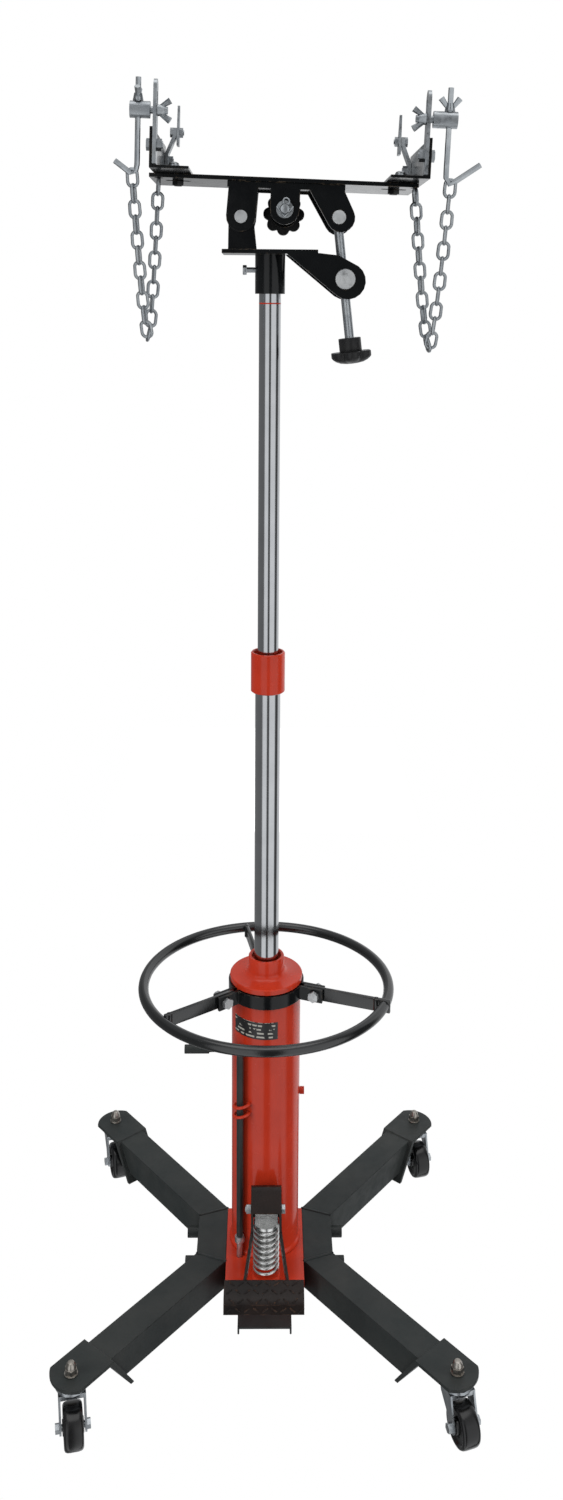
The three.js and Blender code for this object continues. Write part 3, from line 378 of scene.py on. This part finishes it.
# ---------------------------------------------------------------- steelwork
for node in (
    "base_block", "front_channel", "side_frame_left", "side_frame_right", "frame_bolt_front", "frame_bolt_rear",
    "clamp_band_front", "clamp_band_rear", "filler_plug", "pump_body", "fulcrum_bolt", "head_bracket", "set_screw",
    "tilt_screw", "cradle", "saddle_plate", "release_rod",
):
    skin(node)
for node in ("tilt_pin", "lower_trunnion", "upper_trunnion", "release_valve", "clamp_bolt_left", "clamp_bolt_right"):
    skin(node, SATIN_ZINC)
skin("pedal_lever", PEDAL, edge=1.8)
skin("pump_plunger", POLISHED)
for side in ("left", "right"):
    for node in ("end_angle", "front_upright", "rear_upright", "hook_block", "hook_rod"):
        skin(f"{node}_{side}")
for corner in CORNERS:
    skin("kingpin_" + corner, YELLOW_ZINC)
    skin("caster_fork_" + corner)


# ---------------------------------------------------------------- knobs, washers and clip
def star_knob(lobes, radius, thickness, hub, dome=0.0):
    """A star knob about the Z axis with round lobes, rounded over or domed on top, its hub below it."""
    bpy.ops.mesh.primitive_circle_add(vertices=lobes * 16, radius=radius * MM, fill_type="NGON")
    knob = bpy.context.active_object
    for vertex in knob.data.vertices:
        wave = abs(math.cos(lobes / 2 * math.atan2(vertex.co.y, vertex.co.x)))
        share = 1 - 0.2 * (1 - wave) ** 1.3
        vertex.co.x *= share
        vertex.co.y *= share
    edit(knob)
    bpy.ops.mesh.extrude_region_move(TRANSFORM_OT_translate={"value": (0, 0, (thickness - dome) * MM)})
    dome_steps = ((0.94, 0.25), (0.86, 0.3), (0.72, 0.3), (0.5, 0.15)) if dome else ()
    for shrink, share in dome_steps:
        bpy.ops.mesh.extrude_region_move(TRANSFORM_OT_translate={"value": (0, 0, share * dome * MM)})
        bpy.ops.transform.resize(value=(shrink, shrink, 1))
    bpy.ops.mesh.select_all(action="SELECT")
    bpy.ops.mesh.normals_make_consistent(inside=False)
    leave()
    rounded(knob, (1.4 if dome else 3.4) * MM, 50, 5)
    hub_radius, hub_length = hub
    neck = rod(hub_radius, Vector((0, 0, -hub_length)) * MM, Vector((0, 0, 0.5)) * MM, 48)
    rounded(neck, 1.2 * MM, 40, 3)
    return merged(knob, neck)


def on_shift_screw(y, quarter_turns):
    """A place on the fore-and-aft screw's axis, with Z along the screw."""
    at = Matrix.Translation(Vector((SHIFT_X, y, SHIFT_Z)) * MM)
    return SADDLE @ at @ Matrix.Rotation(quarter_turns * math.pi / 2, 4, "X")


def shift_screw():
    """The bar with its flat washer, domed end and wire clip at the front, and the star knob at the back."""
    wire, clip_height = 1.25, 8.4
    washer = lathe([(7.6, 0.3), (12.6, 0.3), (13, 0.8), (13, 2.6), (12.4, 3.8), (7.6, 3.8)], 56)
    tip = lathe([(7.3, 3), (7.3, 12), (6.2, 13.6), (3, 14.2)], 40)
    bpy.ops.mesh.primitive_torus_add(
        major_radius=4.6 * MM, minor_radius=wire * MM, major_segments=36, minor_segments=10,
        location=(1.5 * MM, 11 * MM, clip_height * MM),
    )
    eye = bpy.context.active_object
    settle(eye)
    legs = [
        rod(wire, Vector((0, -11, clip_height)) * MM, Vector((*top, clip_height)) * MM, 12)
        for top in ((-12, 3), (12, 4))
    ]
    bar = rod(7, Vector((0, 0, -104.5)) * MM, Vector((0, 0, 4)) * MM, 36)
    whole = moved(merged(washer, tip, eye, *legs, bar), on_shift_screw(-45, 1))
    hand_over(whole, "shift_screw_end", ZINC, "shift_spindle", "zinc")
    knob = moved(star_knob(8, 31.5, 16, hub=(14.5, 12)), on_shift_screw(59.5, -1))
    hand_over(knob, "shift_knob", KNOB, "shift_spindle", "black_plastic", "shift_screw")


shift_screw()


def on_joint(name, along=0.0):
    """A place on a hinge's axis, with Z along the axis, so many millimetres from the hinge's own point."""
    joint = next(j for j in frame["joints"] if j["name"] == name)
    axis = Vector(joint["axis"])
    turn = axis.to_track_quat("Z", "Y").to_matrix().to_4x4()
    return Matrix.Translation(Vector(joint["pos_m"]) + axis * along * MM) @ turn


def tilt_knob():
    knob = star_knob(6, 32, 18, hub=(17, 20.5), dome=10)
    knob = moved(knob, on_joint("tilt_spindle_turn", 196.5))
    hand_over(knob, "tilt_knob_star", KNOB, "tilt_spindle", "black_plastic", "tilt_knob")


tilt_knob()


# ---------------------------------------------------------------- column
def cylinder():
    """The tube with its weld at the foot, the two guide eyes of the release rod, and the pedal's lug."""
    tube = lathe([
        (CYLINDER_RADIUS, 88.9), (CYLINDER_RADIUS, 107.3), (60.4, 107.4), (60.8, 109.6), (59.6, 112.2),
        (57.4, 114.4), (CYLINDER_RADIUS, 116), (CYLINDER_RADIUS, CYLINDER_TOP), (CYLINDER_BORE, CYLINDER_TOP),
        (CYLINDER_BORE, 96.8),
    ], 96)
    guides = []
    for height in (373, 390):
        bpy.ops.mesh.primitive_torus_add(
            major_radius=9.6 * MM, minor_radius=2.5 * MM, major_segments=36, minor_segments=12,
        )
        at = Matrix.Translation(Vector((ROD_X + 2.6, ROD_Y, height)) * MM)
        oval = Matrix.Rotation(-0.2, 4, "Y") @ Matrix.Diagonal((1.3, 1, 1, 1))
        guides.append(moved(bpy.context.active_object, at @ oval))
    lug = box_piece((-12, -74, 199), (16, -54, 217))
    rounded(lug, 3 * MM)
    whole = merged(tube, *guides, lug)
    settle(whole)
    return hand_over(moved(whole, ON_COLUMN), "cylinder_shell", RED, "base", "red_paint", "cylinder_tube")


def cap():
    """The cap with its neck, open down the middle."""
    profile = [
        (50.6, 576), (50.6, 590), (58.6, 590), (59.7, 591), (59.7, 598.4), (58.4, 600), (38, 600), (33.6, 601.8),
        (30.6, 604.8), (29.3, 608), (29.25, 629.3), (28, 631), (25, 631), (23.6, 629.4), (23.4, 622), (20.6, 622),
        (20.6, 576), (50.6, 576),
    ]
    shell = moved(lathe(profile, 96, closed=True), ON_COLUMN)
    return hand_over(shell, "cap_shell", RED, "base", "red_paint", "cylinder_cap")


def rams():
    """Both chromed rams, the collar between them and the painted line near the top."""
    lower = lathe([(LOWER_RAM_RADIUS, 549.6), (LOWER_RAM_RADIUS, 1136)], 72)
    hand_over(moved(lower, ON_COLUMN), "lower_ram_bar", CHROME, "lower_stage", "chrome", "lower_ram")
    collar = lathe([
        (20.4, 1085), (25.6, 1085), (COLLAR_RADIUS, 1086.4), (COLLAR_RADIUS, 1148.4), (25.6, 1150),
        (23.4, 1150), (22.2, 1148), (22, 1143), (16.9, 1143),
    ], 72)
    hand_over(moved(collar, ON_COLUMN), "collar_shell", RED, "lower_stage", "red_paint", "ram_collar")
    upper = lathe([(UPPER_RAM_RADIUS, 1072), (UPPER_RAM_RADIUS, 1760), (15, 1761.5)], 72)
    hand_over(moved(upper, ON_COLUMN), "upper_ram_bar", CHROME, "upper_stage", "chrome", "upper_ram")
    line_radius = UPPER_RAM_RADIUS + 0.12
    line = lathe([
        (UPPER_RAM_RADIUS, 1690.9), (line_radius, 1691), (line_radius, 1692.8), (UPPER_RAM_RADIUS, 1692.9),
    ], 72)
    hand_over(moved(line, ON_COLUMN), "height_line", RED, "upper_stage", "red_paint")


def label():
    """A thin strip bent round part of the cylinder."""
    bottom, height, left, right = 511, 30, -152.6, -69.9  # the last two in degrees round the column
    bpy.ops.mesh.primitive_circle_add(
        vertices=240, radius=(CYLINDER_RADIUS + 0.25) * MM, fill_type="NOTHING", location=(0, 0, bottom * MM),
    )
    thing = bpy.context.active_object
    settle(thing)
    edit(thing, "DESELECT")
    leave()
    for vertex in thing.data.vertices:
        angle = math.degrees(math.atan2(vertex.co.y, vertex.co.x))
        vertex.select = not left < angle < right
    only(thing)
    bpy.ops.object.mode_set(mode="EDIT")
    bpy.ops.mesh.delete(type="VERT")
    bpy.ops.mesh.select_all(action="SELECT")
    bpy.ops.mesh.extrude_region_move(TRANSFORM_OT_translate={"value": (0, 0, height * MM)})
    bpy.ops.mesh.select_all(action="SELECT")
    bpy.ops.mesh.normals_make_consistent(inside=False)
    leave()
    body = thing.modifiers.new("body", "SOLIDIFY")
    body.thickness, body.offset = 0.0003, 0
    apply_all(thing)
    hand_over(moved(thing, ON_COLUMN), "info_label", LABEL, "base", "satin_black")


cylinder()
cap()
rams()
label()


# ---------------------------------------------------------------- hand ring
def hand_ring():
    """The bent tube with its three flat spokes and a weld where each meets the tube."""
    bottom, top, half_thickness, weld_radius = 567, 589, 3, 189
    bpy.ops.mesh.primitive_torus_add(
        major_radius=RING_RADIUS * MM, minor_radius=RING_TUBE * MM, major_segments=128, minor_segments=20,
        location=(0, 0, RING_HEIGHT * MM),
    )
    parts = [bpy.context.active_object]
    settle(parts[0])
    for azimuth, first, last in SPOKES:
        turn = Matrix.Rotation(math.radians(azimuth), 4, "Z")
        spoke = box_piece((first, -half_thickness, bottom), (last, half_thickness, top))
        rounded(spoke, 1.1 * MM)
        parts.append(moved(spoke, turn))
        bead = rod(5, Vector((weld_radius, 0, bottom)) * MM, Vector((weld_radius, 0, top)) * MM, 16)
        rounded(bead, 2 * MM)
        parts.append(moved(bead, turn))
    whole = merged(*parts)
    lift = Matrix.Translation((0, 0, RING_HEIGHT * MM))
    moved(whole, ON_COLUMN @ lift @ Matrix.Rotation(math.radians(RING_TILT), 4, "X") @ lift.inverted())
    hand_over(whole, "hand_ring_skin", RING, "base", "gloss_black", "hand_ring")


hand_ring()


# ---------------------------------------------------------------- pump spring
def pump_spring():
    """A coil round the pump's plunger, in one fixed shape, though the real spring flattens as the plunger goes down.
    """
    turns, wire, radius, low, high, pressed = 8, 2.3, 19.6, 117.4, 206, 0.904
    bpy.ops.mesh.primitive_circle_add(
        vertices=14, radius=wire * MM, fill_type="NOTHING", rotation=(math.pi / 2, 0, 0),
    )
    thing = bpy.context.active_object
    thing.location = (radius * MM, 0, (low + wire) * MM)
    settle(thing)
    coil = thing.modifiers.new("coil", "SCREW")
    coil.angle, coil.screw_offset, coil.axis = turns * 2 * math.pi, (high - low - 2 * wire) * MM, "Z"
    coil.steps = coil.render_steps = turns * 30
    apply_all(thing)
    edit(thing)
    bpy.ops.mesh.fill_holes(sides=0)
    bpy.ops.mesh.select_all(action="SELECT")
    bpy.ops.mesh.normals_make_consistent(inside=False)
    leave()
    at = COLUMN + Vector((PUMP_X, PUMP_Y, 0)) * MM
    moved(thing, Matrix.Translation(at))
    hand_over(thing, "spring_coil", POLISHED, "base", "steel", "return_spring")
    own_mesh(thing)


pump_spring()


# ---------------------------------------------------------------- caster wheels
def wheel(corner):
    """A moulded wheel, from half its profile: hub, web, rim and tread."""
    half = [
        (5.4, 16), (10.4, 16), (11.4, 15.2), (12.4, 11), (14.6, 9.8), (21.4, 9.8), (23.6, 11), (24.8, 13.4),
        (26, 14.2), (28.2, 14.5), (30.6, 13.2), (32, 10.6), (32.5, 6.4),
    ]
    tyre = lathe([(radius, -height) for radius, height in half] + half[::-1], 64)
    body = "wheel_" + corner
    moved(tyre, on_joint("wheel_spin_" + corner))
    hand_over(tyre, body + "_shell", WHEEL, body, "wheel_plastic", "caster_wheel_" + corner)


for corner in CORNERS:
    wheel(corner)


# ---------------------------------------------------------------- safety chains
def copy_of(thing):
    """A copy with its own mesh."""
    copy = thing.copy()
    copy.data = thing.data.copy()
    bpy.context.scene.collection.objects.link(copy)
    return copy


def slack_loop(hook_end, plate_end, lowest):
    """Points down from the hook to the lowest point and up to the plate, steeper towards both ends."""
    route = []
    for end in (hook_end, plate_end):
        half = []
        for step in range(41):
            up = (step / 40) ** 1.6
            share = up ** 0.7
            half.append(Vector((
                lowest.x + (end.x - lowest.x) * share, lowest.y + (end.y - lowest.y) * share,
                lowest.z + (end.z - lowest.z) * up,
            )))
        route += half[::-1] if end is hook_end else half[1:]
    return route


def chain(side, hook_end, plate_end, lowest):
    """Welded links along a slack loop; every other link is a quarter turn round."""
    wire, bend, straight, usual_pitch, roll_at_rest = 2.4, 7.4, 4.6, 21.5, 12
    hook_end, plate_end, lowest = (SADDLE @ (Vector(p) * MM) for p in (hook_end, plate_end, lowest))
    route = slack_loop(hook_end, plate_end, lowest)
    lengths = [0.0]
    for first, second in zip(route, route[1:]):
        lengths.append(lengths[-1] + (second - first).length)
    count = round(lengths[-1] / (usual_pitch * MM))
    pitch = lengths[-1] / count

    def at(distance):
        index = max(i for i, length in enumerate(lengths[:-1]) if length <= distance + 1e-9)
        share = (distance - lengths[index]) / max(1e-9, lengths[index + 1] - lengths[index])
        return route[index].lerp(route[index + 1], share)

    bpy.ops.mesh.primitive_torus_add(
        major_radius=bend * MM, minor_radius=wire * MM, major_segments=24, minor_segments=10,
    )
    link = bpy.context.active_object
    for vertex in link.data.vertices:
        vertex.co.x += math.copysign(straight * MM, vertex.co.x)
    copies = []
    for number in range(count):
        middle = (number + 0.5) * pitch
        ahead, behind = at(min(lengths[-1], middle + pitch / 2)), at(max(0, middle - pitch / 2))
        along = (ahead - behind).normalized()
        side_on = along.cross(Vector((0, 1, 0))).normalized()
        turn = Matrix((along, side_on, along.cross(side_on))).transposed().to_4x4()
        roll = Matrix.Rotation(math.radians(roll_at_rest + 90 * (number % 2)), 4, "X")
        copies.append(moved(copy_of(link), Matrix.Translation(at(middle)) @ turn @ roll))
    bpy.data.objects.remove(link)
    whole = merged(*copies)
    hand_over(whole, f"chain_links_{side}", ZINC, None, "zinc", f"safety_chain_{side}", smooth=60)
    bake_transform(whole)


chain("left", (-152, -110, 53), (-121, -35, 49), (-128, -72.5, -178))
chain("right", (293, -110, 56), (252, -35, 49), (281, -72.5, -178))


# ---------------------------------------------------------------- bolt heads, tread and welds
def bolt_heads(side, along):
    """Domed heads over the bolts that hold an end angle to the plate."""
    heads = []
    seat = 60.5
    for y, radius in ((-90, 7.8), (0, 9.8), (90, 7.8)):
        dome = lathe([
            (radius, seat), (radius, seat + 2.5), (radius * 0.96, seat + 4.1), (radius * 0.8, seat + 6.1),
            (radius * 0.5, seat + 7.5), (radius * 0.2, seat + 7.9),
        ], 36)
        heads.append(moved(dome, Matrix.Translation(Vector((along, y, 0)) * MM)))
    hand_over(moved(merged(*heads), SADDLE), f"bolt_heads_{side}", ZINC, BODY_OF["saddle_plate"], "zinc")


def pedal_tread():
    """Raised diamonds over the top of the pedal's pad."""
    bars = []
    pitch, swing = 14, 35  # swing is how far each diamond turns, in degrees
    rows = ((-205, 186.9, 18.8), (-216.5, 183, 18.8), (-228, 176.8, 43), (-233.7, 166, 76))
    for row, (y, z, slope) in enumerate(rows):
        for column in range(8 + row % 2):
            bar = box_piece((-5.2, -1.1, -0.6), (5.2, 1.1, 1.0))
            turn = Matrix.Rotation(math.radians(swing if (row + column) % 2 else -swing), 4, "Z")
            lean = Matrix.Rotation(math.radians(slope), 4, "X")
            at = Vector((-51.5 + column * pitch - row % 2 * 4, y, z))
            bars.append(moved(bar, Matrix.Translation(at * MM) @ lean @ turn))
    whole = merged(*bars)
    rounded(whole, 0.4 * MM)
    hand_over(moved(whole, ON_COLUMN), "pedal_tread", PEDAL, BODY_OF["pedal_lever"], "satin_black")


def weld(name, *runs):
    """Overlapping flat beads along straight runs, in millimetres."""
    step, flat = 2.4, Matrix.Diagonal((0.8, 0.8, 0.45, 1))
    bpy.ops.mesh.primitive_uv_sphere_add(segments=12, ring_count=7, radius=3.1 * MM)
    bead = bpy.context.active_object
    copies = []
    for start, end in runs:
        start, end = Vector(start), Vector(end)
        count = round((end - start).length / step)
        for number in range(count + 1):
            at = start.lerp(end, number / count) * MM
            copies.append(moved(copy_of(bead), Matrix.Translation(at) @ flat))
    bpy.data.objects.remove(bead)
    hand_over(moved(merged(*copies), ON_COLUMN), name, SATIN, "base", "satin_black", smooth=60)


def frame_welds():
    """Beads across the top and down the outer corner of each mitre."""
    tube_middle, half, turn_at, top, bottom = 90.5, 24, 54, 107, 58
    for side, sign in (("left", -1), ("right", 1)):
        runs = []
        for end, (x, y) in ((-1, (290.5, -290.5)), (1, (293, 302.5))):
            along = Vector((x - tube_middle, y - end * turn_at)).normalized()
            lean = half * along.x / (1 + abs(along.y))
            inner = (sign * (tube_middle - half), end * (turn_at + lean))
            outer = (sign * (tube_middle + half), end * (turn_at - lean))
            runs.append(((*inner, top), (*outer, top)))
            runs.append(((*outer, top), (*outer, bottom)))
        weld(f"frame_weld_{side}", *runs)


bolt_heads("left", LEFT_BOLTS)
bolt_heads("right", RIGHT_BOLTS)
pedal_tread()
frame_welds()


# ---------------------------------------------------------------- studio
def studio():
    bpy.ops.mesh.primitive_plane_add(size=1, location=(0, 2.4, 0), scale=(6, 7.4, 1))
    floor = bpy.context.active_object
    settle(floor)
    floor.name = "studio_floor"
    paint = Finish("studio_floor_paint", Roughness=0.7, Specular_IOR_Level=0.1, Emission_Strength=0.6)
    paint.shader.inputs["Emission Color"].default_value = (1, 1, 1, 1)
    patches = paint.remap(paint.noise(0.6, 2), 0.3, 0.7, 0, 1)
    paint.colour(paint.blend(patches, (0.55, 0.55, 0.55), (0.58, 0.58, 0.58)))
    floor.data.materials.append(paint.material)
    world = bpy.data.worlds.new("studio_air")
    bpy.context.scene.world = world
    world.use_nodes = True
    tree = world.node_tree
    lit = tree.nodes["Background"]
    seen = tree.nodes.new("ShaderNodeBackground")
    seen.inputs["Color"].default_value = (1, 1, 1, 1)
    lit.inputs["Strength"].default_value = 1.0
    # Two tall softboxes on the pedal's side of the room, grey walls, and a bright backdrop.
    toward = tree.nodes.new("ShaderNodeSeparateXYZ")
    tree.links.new(tree.nodes.new("ShaderNodeTexCoord").outputs["Generated"], toward.inputs[0])
    front, heading = (tree.nodes.new("ShaderNodeMath") for _ in range(2))
    front.operation, heading.operation = "MULTIPLY", "ARCTAN2"
    front.inputs[1].default_value = -1
    tree.links.new(toward.outputs["Y"], front.inputs[0])
    tree.links.new(toward.outputs["X"], heading.inputs[0])
    tree.links.new(front.outputs[0], heading.inputs[1])
    turn = tree.nodes.new("ShaderNodeMapRange")
    turn.inputs["From Min"].default_value, turn.inputs["From Max"].default_value = -math.pi, math.pi
    tree.links.new(heading.outputs[0], turn.inputs["Value"])
    room = tree.nodes.new("ShaderNodeValToRGB")
    tree.links.new(turn.outputs["Result"], room.inputs["Fac"])
    walls = (
        (-180, 0.45), (-150, 0.20), (-52, 0.17), (-43, 0.95), (-9, 0.95), (-4, 0.10), (12, 0.10), (17, 0.95),
        (66, 0.95), (76, 0.08), (100, 0.08), (112, 0.8), (180, 0.8),
    )
    while len(room.color_ramp.elements) < len(walls):
        room.color_ramp.elements.new(0.5)
    for stop, (degrees, light) in zip(room.color_ramp.elements, walls):
        stop.position = (degrees + 180) / 360
        stop.color = (light * 0.97, light * 0.985, light, 1)
    # A dim ceiling above the walls.
    rise = tree.nodes.new("ShaderNodeMapRange")
    rise.inputs["From Min"].default_value, rise.inputs["From Max"].default_value = 0.45, 0.95
    tree.links.new(toward.outputs["Z"], rise.inputs["Value"])
    ceiling = tree.nodes.new("ShaderNodeMix")
    ceiling.data_type = "RGBA"
    tree.links.new(rise.outputs["Result"], ceiling.inputs[0])
    tree.links.new(room.outputs["Color"], ceiling.inputs[6])
    ceiling.inputs[7].default_value = (0.42, 0.43, 0.44, 1)
    high = tree.nodes.new("ShaderNodeMapRange")
    high.inputs["From Min"].default_value, high.inputs["From Max"].default_value = 0.89, 0.93
    tree.links.new(toward.outputs["Z"], high.inputs["Value"])
    zenith = tree.nodes.new("ShaderNodeMix")
    zenith.data_type = "RGBA"
    tree.links.new(high.outputs["Result"], zenith.inputs[0])
    tree.links.new(ceiling.outputs[2], zenith.inputs[6])
    zenith.inputs[7].default_value = (1.6, 1.6, 1.6, 1)
    tree.links.new(zenith.outputs[2], lit.inputs["Color"])
    path = tree.nodes.new("ShaderNodeLightPath")
    mix = tree.nodes.new("ShaderNodeMixShader")
    tree.links.new(path.outputs["Is Camera Ray"], mix.inputs[0])
    tree.links.new(lit.outputs[0], mix.inputs[1])
    tree.links.new(seen.outputs[0], mix.inputs[2])
    tree.links.new(mix.outputs[0], tree.nodes["World Output"].inputs["Surface"])
    for name, place, target, size, power in (
        ("left_softbox", (-3.0, -1.6, 1.9), (0, 0, 1.0), (1.2, 3.4), 95),
        ("right_softbox", (3.2, -0.9, 1.7), (0, 0, 0.9), (0.9, 3.2), 70),
        ("top_softbox", (0.0, 0.6, 4.6), (0, 0.3, 0.0), (4.0, 4.0), 35),
        ("back_softbox", (0.0, 9.0, 5.0), (0, 8.0, 0.0), (14.0, 8.0), 420),
    ):
        lamp = bpy.data.lights.new(name, "AREA")
        lamp.shape, lamp.size, lamp.size_y, lamp.energy = "RECTANGLE", size[0], size[1], power
        holder = bpy.data.objects.new(name, lamp)
        holder.location = place
        holder.rotation_euler = (Vector(target) - Vector(place)).to_track_quat("-Z", "Y").to_euler()
        holder.visible_glossy = False
        bpy.context.scene.collection.objects.link(holder)


def tone():
    bpy.context.scene.view_settings.view_transform = "Standard"
    bpy.context.scene.view_settings.look = "None"


def camera():
    pitch, roll, yaw = (math.radians(v) for v in (10.380, -0.423, 0.748))
    forward = Vector((math.sin(yaw) * math.cos(pitch), math.cos(yaw) * math.cos(pitch), -math.sin(pitch)))
    right = Vector((math.cos(yaw), -math.sin(yaw), 0))
    down = forward.cross(right)
    across = right * math.cos(roll) + down * math.sin(roll)
    below = down * math.cos(roll) - right * math.sin(roll)
    lens = bpy.data.cameras.new("studio_camera")
    lens.sensor_width, lens.lens, lens.shift_y = 36, 30.29, -0.1465
    lens.clip_end = 100
    holder = bpy.data.objects.new("studio_camera", lens)
    turn = Matrix((across, -below, -forward)).transposed().to_4x4()
    holder.matrix_world = Matrix.Translation((-0.0053, -1.922, 1.6885)) @ turn
    bpy.context.scene.collection.objects.link(holder)
    bpy.context.scene.camera = holder


studio()
tone()
camera()
for node in ("inner_cylinder", "ram_piston"):
    skin(node)
